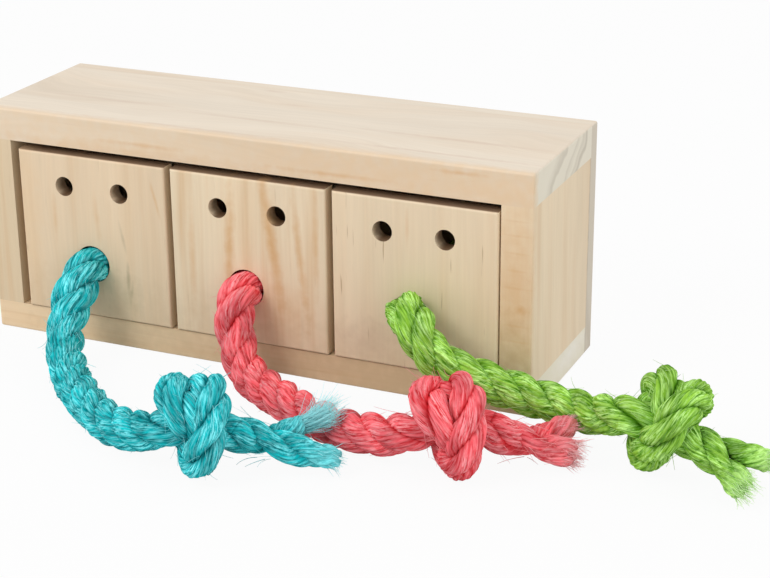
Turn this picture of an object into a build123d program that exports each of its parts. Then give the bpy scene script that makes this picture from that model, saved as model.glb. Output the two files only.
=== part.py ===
from build123d import *
import math
import os

# Treat box for small pets: a low pine case with three drawers, each pulled out by a knotted rope.
# Millimetres, +Z up. The origin is under the middle of the case, on the surface it stands on.
# The drawers face -Y, and +X is to the right as seen from the front.

# Boards of the case
side_thickness = 10.0
top_thickness = 10.5
bottom_thickness = 9.5
back_thickness = 6.0
board_edge_round = 0.8

# Dowels that hold the side boards to the top and bottom boards
case_dowel_diameter = 5.0
case_dowel_depth_in_side = 13.0
case_dowel_depth_in_top = 7.0
case_dowel_depth_in_bottom = 6.5
case_dowel_spread = 34.0

# Drawers
drawer_names = ["left", "middle", "right"]
drawer_width = 54.0
drawer_height = 54.5
front_thickness = 5.5
front_edge_round = 0.8
drawer_side_thickness = 5.0
drawer_back_thickness = 5.0
drawer_bottom_thickness = 4.0
tray_depth = 43.0
tray_height = 40.0

# Dowels that hold a drawer's sides to its front
drawer_dowel_diameter = 3.0
drawer_dowel_depth_in_front = 3.2
drawer_dowel_depth_in_side = 10.0
drawer_dowel_heights = [10.0, 30.0]

# Holes in a drawer front
scent_hole_diameter = 6.5
scent_hole_spacing = 20.4
scent_hole_below_top = 10.8
rope_hole_diameter = 12.5
rope_hole_height = 18.2
rope_hole_shift = -1.2

# Room round the drawers
left_gap = 3.3
between_gap = 2.1
right_gap = 0.5
under_gap = 0.3
over_gap = 2.2
rear_gap = 0.5
front_proud = 1.0

# Room round a dowel
dowel_side_gap = 0.05
dowel_end_gap = 0.3

# Ropes
rope_diameter = 11.5
knot_rope_diameter = 9.6
rope_start_in_hole = 1.5
tail_end_width = 13.0
tail_end_height = 10.0
arc_share_of_run = 0.45

# One half of an overhand knot, from its middle outwards: along the rope, across it and up.
# The other half is the same one turned half round about the across axis.
knot_half = [
    (0.0, -10.0, 0.0),
    (5.0, -9.5, -8.5),
    (8.5, -1.0, -11.0),
    (8.0, 9.0, -3.5),
    (5.0, 11.5, 4.0),
    (0.0, 8.0, 7.5),
    (-2.5, 2.0, 5.5),
    (-5.5, -2.5, -1.5),
    (-11.0, -3.0, -4.0),
]
# The outer knots are drawn up tighter than the stop knots inside, by this share of every size
outer_knot_share = 0.93
# The spans of a knot's solid meet in the run that follows this point of the half
knot_cut_index = 2

# Routes of the ropes outside the drawers: right of the hole, ahead of the front, above the floor.
# Each rope first leaves its hole straight, by the distance named first.
ropes = {
    "left": {
        "straight": 5.5,
        "route": [
            (0.0, -13.0, 20.5),
            (0.5, -19.0, 13.5),
            (4.0, -26.0, 8.0),
            (12.0, -36.0, 6.0),
            (24.0, -48.5, 6.0),
            (38.0, -60.0, 6.0),
            (52.0, -67.0, 7.0),
        ],
        "knot_centre": (75.5, -69.5, 15.4),
        "knot_heading": 4.0,
        "knot_tilt": -5.0,
        "knot_roll": 100.0,
        "tail": [(97.0, -60.0, 8.0), (112.0, -54.0, 6.5)],
    },
    "middle": {
        "straight": 4.5,
        "route": [
            (0.5, -8.5, 25.0),
            (1.0, -10.5, 20.5),
            (2.0, -11.5, 15.5),
            (4.5, -13.5, 9.5),
            (9.5, -17.0, 6.0),
            (18.0, -23.0, 6.0),
            (28.5, -29.5, 6.0),
            (41.0, -36.0, 6.0),
            (54.5, -41.0, 6.5),
            (65.0, -43.0, 8.0),
        ],
        "knot_centre": (86.0, -42.5, 15.6),
        "knot_heading": 5.0,
        "knot_tilt": -4.0,
        "knot_roll": 112.0,
        "tail": [(105.5, -32.0, 8.0), (117.5, -26.5, 6.5)],
    },
    "right": {
        "straight": 4.5,
        "route": [
            (1.5, -11.5, 28.5),
            (6.5, -17.0, 27.0),
            (14.5, -17.0, 22.5),
            (24.0, -13.5, 17.5),
            (36.0, -10.0, 13.5),
            (49.0, -9.0, 11.0),
            (62.0, -11.5, 10.5),
        ],
        "knot_centre": (85.5, -17.5, 15.6),
        "knot_heading": -8.0,
        "knot_tilt": 0.0,
        "knot_roll": 35.0,
        "tail": [(105.5, -20.5, 8.0), (115.0, -26.5, 6.5)],
    },
}
stop_knot_seat = 2.6
stop_knot_roll = 20.0
stop_knot_stub = 5.0

# Sizes of the case that follow from the drawers
inner_width = left_gap + right_gap + len(drawer_names) * drawer_width + (len(drawer_names) - 1) * between_gap
inner_height = under_gap + drawer_height + over_gap
drawer_length = front_thickness + tray_depth + drawer_back_thickness
case_length = inner_width + 2 * side_thickness
case_height = bottom_thickness + inner_height + top_thickness
case_depth = drawer_length - front_proud + rear_gap + back_thickness
overall_depth = case_depth + front_proud
front_y = -overall_depth / 2
case_front_y = front_y + front_proud
case_back_y = overall_depth / 2
board_rear_y = case_back_y - back_thickness
front_rear_y = front_y + front_thickness
drawer_z = bottom_thickness + under_gap
tray_z = drawer_z + drawer_bottom_thickness
top_z = case_height - top_thickness
rope_hole_z = drawer_z + rope_hole_height


def block(x_low, x_high, y_low, y_high, z_low, z_high):
    """A plain board between two corners."""
    centre = ((x_low + x_high) / 2, (y_low + y_high) / 2, (z_low + z_high) / 2)
    return Pos(*centre) * Box(x_high - x_low, y_high - y_low, z_high - z_low)


def upright_peg(x, y, z_low, z_high, diameter):
    """A round peg along Z."""
    return Pos(x, y, (z_low + z_high) / 2) * Cylinder(diameter / 2, z_high - z_low)


def level_peg(x, y_low, y_high, z, diameter):
    """A round peg along Y."""
    return Pos(x, (y_low + y_high) / 2, z) * Rot(90, 0, 0) * Cylinder(diameter / 2, y_high - y_low)


def save(name, *solids):
    """Writes one node, which may hold several separate solids."""
    shape = solids[0] if len(solids) == 1 else Compound(children=list(solids))
    export_step(shape, f"parts/{name}.step")


def case_dowel_places():
    """Centres of the case dowels in plan: two in each side board."""
    middle_y = (case_front_y + board_rear_y) / 2
    side_x = (case_length - side_thickness) / 2
    half_spread = case_dowel_spread / 2
    return [(x, middle_y + y) for x in (-side_x, side_x) for y in (-half_spread, half_spread)]


def make_case():
    """The five boards of the case and the dowels between them.

    The back board lies over the rear of the other four. Only edges that meet no other board are rounded.
    """
    half_length = case_length / 2
    half_inner = inner_width / 2
    top = block(-half_length, half_length, case_front_y, board_rear_y, top_z, case_height)
    bottom = block(-half_length, half_length, case_front_y, board_rear_y, 0, bottom_thickness)
    top_edges = top.faces().sort_by(Axis.Z)[-1].edges() + top.faces().sort_by(Axis.Y)[0].edges().filter_by(Axis.Z)
    top = fillet(top_edges.sort_by(Axis.Y)[:-1], board_edge_round)
    bottom_edges = bottom.faces().sort_by(Axis.Z)[0].edges()
    bottom_edges += bottom.faces().sort_by(Axis.Y)[0].edges().filter_by(Axis.Z)
    bottom = fillet(bottom_edges.sort_by(Axis.Y)[:-1], board_edge_round)
    left = block(-half_length, -half_inner, case_front_y, board_rear_y, bottom_thickness, top_z)
    right = block(half_inner, half_length, case_front_y, board_rear_y, bottom_thickness, top_z)
    left_front_edges = left.faces().sort_by(Axis.Y)[0].edges().filter_by(Axis.Z)
    left = fillet(left_front_edges.sort_by(Axis.X)[0], board_edge_round)
    right_front_edges = right.faces().sort_by(Axis.Y)[0].edges().filter_by(Axis.Z)
    right = fillet(right_front_edges.sort_by(Axis.X)[-1], board_edge_round)
    back = block(-half_length, half_length, board_rear_y, case_back_y, 0, case_height)
    back_edges = back.edges().filter_by(Axis.Y) + back.faces().sort_by(Axis.Y)[-1].edges()
    back = fillet(back_edges, board_edge_round)

    hole_diameter = case_dowel_diameter + 2 * dowel_side_gap
    top_dowels = []
    bottom_dowels = []
    for x, y in case_dowel_places():
        low = top_z - case_dowel_depth_in_side
        high = top_z + case_dowel_depth_in_top
        top_dowels.append(upright_peg(x, y, low, high, case_dowel_diameter))
        hole = upright_peg(x, y, low - dowel_end_gap, high + dowel_end_gap, hole_diameter)
        top -= hole
        left, right = (left - hole, right) if x < 0 else (left, right - hole)
        low = bottom_thickness - case_dowel_depth_in_bottom
        high = bottom_thickness + case_dowel_depth_in_side
        bottom_dowels.append(upright_peg(x, y, low, high, case_dowel_diameter))
        hole = upright_peg(x, y, low - dowel_end_gap, high + dowel_end_gap, hole_diameter)
        bottom -= hole
        left, right = (left - hole, right) if x < 0 else (left, right - hole)

    save("top_board", top)
    save("bottom_board", bottom)
    save("left_side_board", left)
    save("right_side_board", right)
    save("back_board", back)
    save("top_dowels", *top_dowels)
    save("bottom_dowels", *bottom_dowels)


def drawer_left_x(place):
    """Left edge of a drawer, counted from the left."""
    return -inner_width / 2 + left_gap + place * (drawer_width + between_gap)


def rope_hole_x(place):
    """Middle of the rope's hole in a drawer front."""
    return drawer_left_x(place) + drawer_width / 2 + rope_hole_shift


def make_drawer(name, place):
    """One drawer: its front with three holes, two sides, back, bottom panel and dowels."""
    x_low = drawer_left_x(place)
    x_high = x_low + drawer_width
    x_middle = (x_low + x_high) / 2
    z_high = drawer_z + drawer_height
    front = block(x_low, x_high, front_y, front_rear_y, drawer_z, z_high)
    front = fillet(front.faces().sort_by(Axis.Y)[0].edges(), front_edge_round)
    for side in (-1, 1):
        x = x_middle + side * scent_hole_spacing / 2
        front -= level_peg(x, front_y, front_rear_y, z_high - scent_hole_below_top, scent_hole_diameter)
    front -= level_peg(rope_hole_x(place), front_y, front_rear_y, rope_hole_z, rope_hole_diameter)

    rear_y = front_rear_y + tray_depth + drawer_back_thickness
    tray_top_z = tray_z + tray_height
    inner_low = x_low + drawer_side_thickness
    inner_high = x_high - drawer_side_thickness
    left = block(x_low, inner_low, front_rear_y, rear_y, tray_z, tray_top_z)
    right = block(inner_high, x_high, front_rear_y, rear_y, tray_z, tray_top_z)
    back = block(inner_low, inner_high, rear_y - drawer_back_thickness, rear_y, tray_z, tray_top_z)
    bottom = block(x_low, x_high, front_rear_y, rear_y, drawer_z, tray_z)

    dowels = []
    y_low = front_rear_y - drawer_dowel_depth_in_front
    y_high = front_rear_y + drawer_dowel_depth_in_side
    hole_diameter = drawer_dowel_diameter + 2 * dowel_side_gap
    for height in drawer_dowel_heights:
        z = tray_z + height
        for x in ((x_low + inner_low) / 2, (inner_high + x_high) / 2):
            dowels.append(level_peg(x, y_low, y_high, z, drawer_dowel_diameter))
            hole = level_peg(x, y_low - dowel_end_gap, y_high + dowel_end_gap, z, hole_diameter)
            front -= hole
            left, right = (left - hole, right) if x < x_middle else (left, right - hole)

    save(f"{name}_drawer_front", front)
    save(f"{name}_drawer_left_side", left)
    save(f"{name}_drawer_right_side", right)
    save(f"{name}_drawer_back", back)
    save(f"{name}_drawer_bottom", bottom)
    save(f"{name}_drawer_dowels", *dowels)


def knot_plane(centre, along, roll):
    """The frame of a knot: X along the rope's heading, Y across it, rolled about the heading."""
    side = Vector(0, 0, 1).cross(along).normalized()
    turn = math.radians(roll)
    upward = along.cross(side) * math.cos(turn) - side * math.sin(turn)
    return Plane(Vector(*centre), x_dir=along, z_dir=upward)


def knot_points(mirror, share=1.0):
    """The points of an overhand knot in its own frame."""
    second_half = [(-a, b, -c) for a, b, c in knot_half[1:]]
    whole = knot_half[:0:-1] + knot_half[:1] + second_half
    return [Vector(a, b, c * mirror) * share for a, b, c in whole]


def arc_radii(points):
    """The radius at each inner point of a route, as large as its two runs allow."""
    radii = []
    for before, here, after in zip(points, points[1:], points[2:]):
        turn = math.radians((here - before).get_angle(after - here))
        run = min((here - before).length, (after - here).length)
        radii.append(arc_share_of_run * run / math.tan(turn / 2))
    return radii


def tube(points, diameter, label):
    """A round tube along straight runs and tangent arcs."""
    radii = arc_radii(points)
    path = FilletPolyline(*points, radius=radii)
    section = Plane(path @ 0, z_dir=path % 0) * Circle(diameter / 2)
    solid = sweep(section, path=path)
    share = solid.volume / (math.pi * diameter**2 / 4 * path.length)
    print(label, "radii", [round(r, 1) for r in radii])
    print(label, "length", round(path.length, 1), "volume share", round(share, 4))
    return solid


def knot_solid(points, lead_in, diameter, label):
    """A drawn-up knot: the rope's passes press into one another, so it is made in three spans and joined."""
    middle = len(knot_half) - 1
    first_cut = middle - knot_cut_index - 1
    second_cut = middle + knot_cut_index
    first_mid = (points[first_cut] + points[first_cut + 1]) * 0.5
    second_mid = (points[second_cut] + points[second_cut + 1]) * 0.5
    spans = [
        lead_in + points[:first_cut + 1] + [first_mid],
        [first_mid] + points[first_cut + 1:second_cut + 1] + [second_mid],
        [second_mid] + points[second_cut + 1:],
    ]
    tubes = [tube(span, diameter, f"{label} span {number}") for number, span in enumerate(spans, 1)]
    return tubes[0] + tubes[1] + tubes[2]


def tail_solid(root, direction, points, diameter):
    """The opened end of a rope: round where it leaves the knot, then spreading flat."""
    places = [root] + points
    headings = [direction, points[1] - root, points[1] - points[0]]
    widths = [diameter, (diameter + tail_end_width) / 2, tail_end_width]
    heights = [diameter, (diameter + tail_end_height) / 2, tail_end_height]
    sections = []
    for place, heading, width, height in zip(places, headings, widths, heights):
        level = Vector(0, 0, 1).cross(heading)
        sections.append(Plane(place, x_dir=level, z_dir=heading) * Ellipse(width / 2, height / 2))
    return loft(sections)


def make_rope(name, place):
    """One rope: its stop knot inside, its free stretch, its outer knot and its opened tail."""
    rope = ropes[name]
    hole = Vector(rope_hole_x(place), front_y, 0)
    start = hole + Vector(0, rope_start_in_hole, rope_hole_z)

    inner = knot_points(1)
    inner[-1] += (inner[-1] - inner[-2]).normalized() * stop_knot_stub
    lead_in = inner[0] - Vector(front_thickness + stop_knot_seat - rope_start_in_hole, 0, 0)
    turned = knot_plane((0, 0, 0), Vector(0, 1, 0), stop_knot_roll)
    centre = start - turned.from_local_coords(lead_in)
    inner_plane = knot_plane(centre, Vector(0, 1, 0), stop_knot_roll)
    stop_knot = inner_plane.location * knot_solid(inner, [lead_in], knot_rope_diameter, f"{name} stop knot")
    save(f"{name}_rope_stop_knot", stop_knot)

    heading = math.radians(rope["knot_heading"])
    tilt = math.radians(rope["knot_tilt"])
    level = math.cos(tilt)
    along = Vector(math.cos(heading) * level, math.sin(heading) * level, math.sin(tilt))
    outer_plane = knot_plane(hole + Vector(*rope["knot_centre"]), along, rope["knot_roll"])
    outer = knot_points(-1, outer_knot_share)
    outer_diameter = knot_rope_diameter * outer_knot_share
    knot = outer_plane.location * knot_solid(outer, [], outer_diameter, f"{name} knot")
    print(name, "knot from", round(knot.bounding_box().min.Z, 2), "to", round(knot.bounding_box().max.Z, 2))
    save(f"{name}_rope_knot", knot)

    knot_start = outer_plane.from_local_coords(outer[0])
    knot_end = outer_plane.from_local_coords(outer[-1])
    leaving = knot_end - outer_plane.from_local_coords(outer[-2])
    route = [start, hole + Vector(0, -rope["straight"], rope_hole_z)]
    route += [hole + Vector(*point) for point in rope["route"]]
    route.append(knot_start)
    save(f"{name}_rope", tube(route, rope_diameter, f"{name} rope"))
    tail = [hole + Vector(*point) for point in rope["tail"]]
    save(f"{name}_rope_tail", tail_solid(knot_end, leaving, tail, outer_diameter))


os.makedirs("parts", exist_ok=True)
make_case()
for place, name in enumerate(drawer_names):
    make_drawer(name, place)
    make_rope(name, place)
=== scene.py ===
import math
import random

import bpy
import numpy as np
from mathutils import Matrix, Vector


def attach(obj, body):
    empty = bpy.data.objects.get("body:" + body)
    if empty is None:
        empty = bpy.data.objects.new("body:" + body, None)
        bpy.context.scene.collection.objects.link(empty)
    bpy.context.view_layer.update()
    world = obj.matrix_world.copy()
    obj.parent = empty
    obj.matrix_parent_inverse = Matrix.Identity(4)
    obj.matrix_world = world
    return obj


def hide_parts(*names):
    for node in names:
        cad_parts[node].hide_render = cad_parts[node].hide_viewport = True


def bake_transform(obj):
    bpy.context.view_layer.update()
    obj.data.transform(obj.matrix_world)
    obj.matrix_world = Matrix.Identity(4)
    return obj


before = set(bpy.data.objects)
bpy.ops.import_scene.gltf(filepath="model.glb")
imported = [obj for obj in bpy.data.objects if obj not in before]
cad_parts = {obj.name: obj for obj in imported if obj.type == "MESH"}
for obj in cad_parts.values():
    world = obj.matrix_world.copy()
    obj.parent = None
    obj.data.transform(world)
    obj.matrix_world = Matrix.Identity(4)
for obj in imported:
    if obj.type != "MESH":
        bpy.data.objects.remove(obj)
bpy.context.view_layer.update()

bl_info = {
    "name": "Treat drawer box",
    "version": (1, 0, 0),
    "blender": (4, 5, 0),
    "location": "3D View > Sidebar > Treat Box",
    "description": "Dresses a pine box of treat drawers that are pulled open by knotted sisal ropes",
    "category": "Object",
}

# The camera of the studio view
CAMERA_PLACE = (0.268667, -0.525037, 0.247937)
CAMERA_AZIMUTH = math.radians(24.015)
CAMERA_ELEVATION = math.radians(21.451)
CAMERA_ROLL = math.radians(-0.538)
SENSOR_WIDTH = 36.0

# The drawers, counted from the left, and the dye of each rope
DRAWERS = ["left", "middle", "right"]
DYES = {"left": "turquoise", "middle": "coral", "right": "green"}

# Where the ropes leave the drawer fronts
ROPE_HOLES = {
    "left": Vector((-0.0559, -0.030, 0.028)),
    "middle": Vector((0.0002, -0.030, 0.028)),
    "right": Vector((0.0563, -0.030, 0.028)),
}
FRONT_THICKNESS = 0.0055
# How far inside its hole a rope's free stretch starts
ROPE_START_IN_HOLE = 0.0015

# One half of an overhand knot, from its middle outwards: along the rope, across it and up.
# The other half is the same one turned half round about the across axis.
KNOT_HALF = [
    (0.0000, -0.0100, 0.0000),
    (0.0050, -0.0095, -0.0085),
    (0.0085, -0.0010, -0.0110),
    (0.0080, 0.0090, -0.0035),
    (0.0050, 0.0115, 0.0040),
    (0.0000, 0.0080, 0.0075),
    (-0.0025, 0.0020, 0.0055),
    (-0.0055, -0.0025, -0.0015),
    (-0.0110, -0.0030, -0.0040),
]
# Size of the outer knots, as a share of that
OUTER_KNOT_SHARE = 0.88
# The stop knots: distance behind the front, turn about the rope in degrees, and length of the cut end
STOP_KNOT_SEAT = 0.0026
STOP_KNOT_ROLL = 20.0
STOP_KNOT_STUB = 0.005

# Routes of the ropes: right of the hole, ahead of the drawer front, above the floor.
# Each rope first leaves its hole straight, by the distance named first.
ROPES = {
    "left": {
        "straight": 0.0055,
        "route": [
            (0.0000, -0.0130, 0.0205),
            (0.0005, -0.0190, 0.0135),
            (0.0040, -0.0260, 0.0080),
            (0.0120, -0.0360, 0.0060),
            (0.0240, -0.0485, 0.0060),
            (0.0380, -0.0600, 0.0060),
            (0.0520, -0.0670, 0.0070),
        ],
        "knot_centre": (0.0755, -0.0695, 0.0154),
        "knot_heading": 4.0,
        "knot_tilt": -5.0,
        "knot_roll": 100.0,
        "bulge": 0.16,
        "tail": [(0.0970, -0.0600, 0.0080), (0.1120, -0.0540, 0.0065)],
    },
    "middle": {
        "straight": 0.0030,
        "route": [
            (0.0005, -0.0080, 0.0264),
            (0.0010, -0.0108, 0.0212),
            (0.0020, -0.0115, 0.0155),
            (0.0045, -0.0135, 0.0095),
            (0.0095, -0.0170, 0.0060),
            (0.0180, -0.0230, 0.0060),
            (0.0285, -0.0295, 0.0060),
            (0.0410, -0.0360, 0.0060),
            (0.0545, -0.0410, 0.0065),
            (0.0650, -0.0430, 0.0080),
        ],
        "knot_centre": (0.0860, -0.0425, 0.0156),
        "knot_heading": 5.0,
        "knot_tilt": -4.0,
        "knot_roll": 112.0,
        "bulge": 0.04,
        "tail": [(0.1055, -0.0320, 0.0080), (0.1175, -0.0265, 0.0065)],
    },
    "right": {
        "straight": 0.0045,
        "route": [
            (0.0028, -0.0085, 0.0332),
            (0.0084, -0.0155, 0.0302),
            (0.0145, -0.0170, 0.0225),
            (0.0240, -0.0135, 0.0175),
            (0.0360, -0.0100, 0.0135),
            (0.0490, -0.0090, 0.0110),
            (0.0620, -0.0115, 0.0105),
        ],
        "knot_centre": (0.0855, -0.0175, 0.0156),
        "knot_heading": -8.0,
        "knot_tilt": 0.0,
        "knot_roll": 35.0,
        "bulge": 0.12,
        "tail": [(0.1055, -0.0205, 0.0080), (0.1150, -0.0265, 0.0065)],
    },
}

# The opened tails, in the frame of the box: one strand parts from the other two, and both ends fray.
# The lone strand, then the pair: its tip, the way its fibres point, their length, spread and number.
TAILS = {
    "left": [
        ((0.0450, -0.0800, 0.0105), (0.60, 0.62, 0.42), 0.0100, 0.30, 330),
        ((0.0590, -0.0865, 0.0056), (0.92, 0.02, -0.10), 0.0006, 0.30, 50),
    ],
    "middle": [
        ((0.1160, -0.0480, 0.0100), (0.90, 0.25, 0.20), 0.0012, 0.20, 90),
        ((0.1190, -0.0570, 0.0054), (0.90, -0.15, -0.15), 0.0026, 0.26, 120),
    ],
    "right": [
        ((0.1740, -0.0500, 0.0100), (0.95, 0.05, 0.10), 0.0045, 0.24, 200),
        ((0.1680, -0.0610, 0.0056), (0.85, -0.40, -0.10), 0.0024, 0.26, 130),
    ],
}
# Shares of a tail's length over which it opens, frays and closes to a round end
TAIL_OPENS = (0.05, 0.75)
TAIL_FRAYS = (0.60, 1.0)
TAIL_ROUNDS = (0.84, 1.0)

# How the ropes give way as the drawers open: for each piece a first body left of one place along X, and a
# second right of another. The pieces listed here are meant to stay with the case until the drawer behind
# pushes them ahead; this script leaves them in place and doesn't read those bodies and places. The right rope
# moves with its drawer.
GIVES_WAY = {
    "left": {
        "near": ("left_drawer", "case", -0.056, -0.008),
        "far": ("case", "right_drawer", 0.036, 0.083),
    },
    "middle": {
        "near": ("middle_drawer", "case", -0.002, 0.037),
        "far": ("case", "right_drawer", 0.037, 0.084),
    },
}
# Length at the end of a rope's free stretch that is made in one piece with its knot
LEAD = {"left": 0.0, "middle": 0.0345, "right": 0.0}

# Steps of a rope's line, and points of its neighbour that a piece looks at to join it without a step
LINE_RESOLUTION = 24
LINE_STEP = 0.0007
OVERLAP = 3
# Lowest height of the strands and fibres
FLOOR_CLEARANCE = 0.0003
# Strands of a rope: where each lies and its section, as shares of the rope's radius, and its swell
STRANDS = 3
STRAND_OFFSET = 0.55
STRAND_HALF_OUT = 0.51
STRAND_HALF_OVER = 0.54
STRAND_SWELL = 0.035
# Sides of a strand's tube, fewer in the stop knots, which lie inside the drawers
STRAND_SIDES = 60
STOP_KNOT_SIDES = 24
# How far yarns stand out of a strand, more where it is loose, and how dark the painted shade in the grooves
# between them is
YARN_RELIEF = 0.15
LOOSE_RELIEF = 0.14
YARN_SWELL = 0.06
YARN_CREASE_SHADE = 0.45
# Shares of the rope's radius over which the painted shade of deep colour between the strands ends
STRAND_CREASE_SHADE = (0.64, 0.94)
# Where the rope changes between its knotted and its full thickness, counted from its hole and its knot
THIN_TO_HOLE = (-0.010, 0.002)
THIN_FROM_KNOT = (-0.012, 0.004)
# Where the rope bends down in front of its hole, and how long the bend is
BEND_PLACE = 0.016
BEND_REACH = 0.006
# Loose fibres: their number, and how far from the drawer they start
HAIRS_PER_METRE = 1150
FUZZ_START = 0.004
LONG_HAIRS = {"stretch": 4, "end": 24}
# Length, lift off the rope and thickness of the short fuzz and of the long hairs
FUZZ = ((0.0020, 0.0065), (0.02, 0.30), (0.00005, 0.00009))
LONG_HAIR = ((0.005, 0.010), (0.15, 0.6), (0.00008, 0.00013))
# Thickness of the fibres at a frayed end
FRAY_THICKNESS = (0.00007, 0.00013)

# Colours of the marks in the wood, and of painted shade on it
ORANGE_WOOD = (0.64, 0.37, 0.16)
WARM_WOOD = (0.76, 0.53, 0.31)
HONEY_WOOD = (0.71, 0.47, 0.26)
PINK_WOOD = (0.60, 0.45, 0.34)
GREY_WOOD = (0.34, 0.28, 0.18)
# Tan, used as painted shade low on the drawer fronts and behind the green rope on the right side board, and
# to darken the bottom board's front edge
TAN_WOOD_AND_SHADE = (0.52, 0.37, 0.21)
# Painted shade inside the drilled scent holes
SCENT_HOLE_SHADE = (0.16, 0.08, 0.03)
SEAM = (0.40, 0.34, 0.27)

# Planes that the marks in the wood lie on
BOX_TOP = 0.077
CASE_FRONT = -0.029
DRAWER_FRONT = -0.030


def mark_at(middle, reach, tint, strength, lean=0.0):
    """A mark in the wood: its middle, half sizes, lean along X as it rises, colour and strength."""
    return middle, reach, lean, tint, strength


def top_mark(x, y, reach_x, reach_y, strength):
    """A pinkish streak on top of the box."""
    return mark_at((x, y, BOX_TOP), (reach_x, reach_y, 0.004), PINK_WOOD, strength)


def case_mark(x, z, reach, tint, strength, lean=0.0):
    """A mark on the front edge of a board of the case."""
    return mark_at((x, CASE_FRONT, z), reach, tint, strength, lean)


def drawer_mark(x, z, reach_x, reach_z, tint, strength, lean=0.0):
    """A mark that goes right through a drawer front."""
    return mark_at((x, DRAWER_FRONT, z), (reach_x, 0.02, reach_z), tint, strength, lean)


TOP_MARKS = [
    top_mark(-0.0149, 0.0222, 0.0055, 0.0018, 0.40),
    top_mark(-0.0015, 0.0097, 0.0075, 0.0014, 0.30),
    top_mark(-0.0600, -0.0070, 0.0340, 0.0016, 0.36),
    top_mark(-0.0050, -0.0100, 0.0360, 0.0015, 0.34),
    top_mark(0.0600, -0.0062, 0.0500, 0.0016, 0.45),
    top_mark(0.0620, -0.0208, 0.0480, 0.0014, 0.45),
    top_mark(-0.0200, -0.0256, 0.0550, 0.0013, 0.36),
    case_mark(0.0000, 0.0715, (0.4000, 0.0045, 0.0300), WARM_WOOD, 0.50),
    case_mark(0.0950, 0.0690, (0.1000, 0.0035, 0.0120), WARM_WOOD, 0.45),
    case_mark(-0.0400, 0.0675, (0.0900, 0.0035, 0.0030), ORANGE_WOOD, 0.30),
    case_mark(-0.0365, 0.0705, (0.0200, 0.0030, 0.0011), ORANGE_WOOD, 0.45),
    case_mark(0.0300, 0.0690, (0.0260, 0.0030, 0.0010), ORANGE_WOOD, 0.45),
    case_mark(0.0720, 0.0746, (0.0100, 0.0030, 0.0010), ORANGE_WOOD, 0.50),
]
RIGHT_SIDE_MARKS = [
    case_mark(0.0900, 0.0380, (0.0120, 0.0035, 0.050), HONEY_WOOD, 0.75),
    case_mark(0.0913, 0.0345, (0.0024, 0.0030, 0.0022), ORANGE_WOOD, 0.70),
    # Painted shadow of the green rope, which passes before the lower front edge of the right side board
    case_mark(0.0880, 0.0130, (0.0120, 0.0030, 0.0220), TAN_WOOD_AND_SHADE, 0.60),
    mark_at((0.0950, 0.0240, 0.0380), (0.0020, 0.0013, 0.0700), SEAM, 0.75),
]
RIGHT_SIDE_MARKS += [case_mark(0.0900, height, (0.0060, 0.0020, 0.0006), ORANGE_WOOD, 0.26, 0.04)
                     for height in (0.062, 0.0575, 0.052, 0.0465, 0.041, 0.029, 0.024)]
BOTTOM_MARKS = [
    # A broad mark darkens the front edge of the bottom board, most from its middle to its right end
    case_mark(0.0500, 0.0050, (0.1400, 0.0060, 0.0300), TAN_WOOD_AND_SHADE, 0.65),
    mark_at((0.0950, 0.0080, 0.0062), (0.0040, 0.0200, 0.0060), (0.86, 0.82, 0.74), 0.80),
    mark_at((0.0950, 0.0240, 0.0060), (0.0020, 0.0013, 0.0200), SEAM, 0.75),
]
FRONT_MARKS = {
    "left": [
        drawer_mark(-0.0440, 0.0385, 0.0008, 0.0070, GREY_WOOD, 0.35, -0.20),
        drawer_mark(-0.0428, 0.0240, 0.0010, 0.0080, GREY_WOOD, 0.60),
        drawer_mark(-0.0418, 0.0200, 0.0008, 0.0050, GREY_WOOD, 0.50, 0.15),
        # Partly the stain round the crack, partly the painted shadow of the left rope on the front
        drawer_mark(-0.0440, 0.0180, 0.0080, 0.0100, (0.50, 0.42, 0.27), 0.45),
        drawer_mark(-0.0812, 0.0305, 0.0010, 0.0018, GREY_WOOD, 0.60),
        drawer_mark(-0.0312, 0.0530, 0.0009, 0.0090, ORANGE_WOOD, 0.50, -0.25),
        drawer_mark(-0.0692, 0.0420, 0.0012, 0.0100, ORANGE_WOOD, 0.32),
        drawer_mark(-0.0533, 0.0440, 0.0014, 0.0120, ORANGE_WOOD, 0.32, -0.06),
        drawer_mark(-0.0800, 0.0400, 0.0070, 0.0500, WARM_WOOD, 0.45),
    ],
    "middle": [
        drawer_mark(-0.0050, 0.0430, 0.0024, 0.0300, ORANGE_WOOD, 0.75, 0.05),
        drawer_mark(0.0095, 0.0460, 0.0028, 0.0320, ORANGE_WOOD, 0.80, -0.14),
        drawer_mark(0.0196, 0.0400, 0.0020, 0.0280, ORANGE_WOOD, 0.65, -0.10),
        drawer_mark(-0.0185, 0.0350, 0.0018, 0.0250, ORANGE_WOOD, 0.45),
        drawer_mark(0.0250, 0.0450, 0.0014, 0.0220, ORANGE_WOOD, 0.50),
        drawer_mark(0.0140, 0.0220, 0.0120, 0.0120, ORANGE_WOOD, 0.30),
    ],
    "right": [
        drawer_mark(0.0555, 0.0560, 0.0009, 0.0080, ORANGE_WOOD, 0.30),
        drawer_mark(0.0400, 0.0160, 0.0130, 0.0110, PINK_WOOD, 0.40),
        drawer_mark(0.0700, 0.0140, 0.0140, 0.0070, PINK_WOOD, 0.35),
    ],
}
# The middle of a front, right of its rope hole, and its scent holes
FRONT_MIDDLE = 0.0012
SCENT_HOLE_HEIGHT = 0.0535
SCENT_HOLE_SPREAD = 0.0102
SCENT_HOLE_DEPTH = -0.0258


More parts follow.
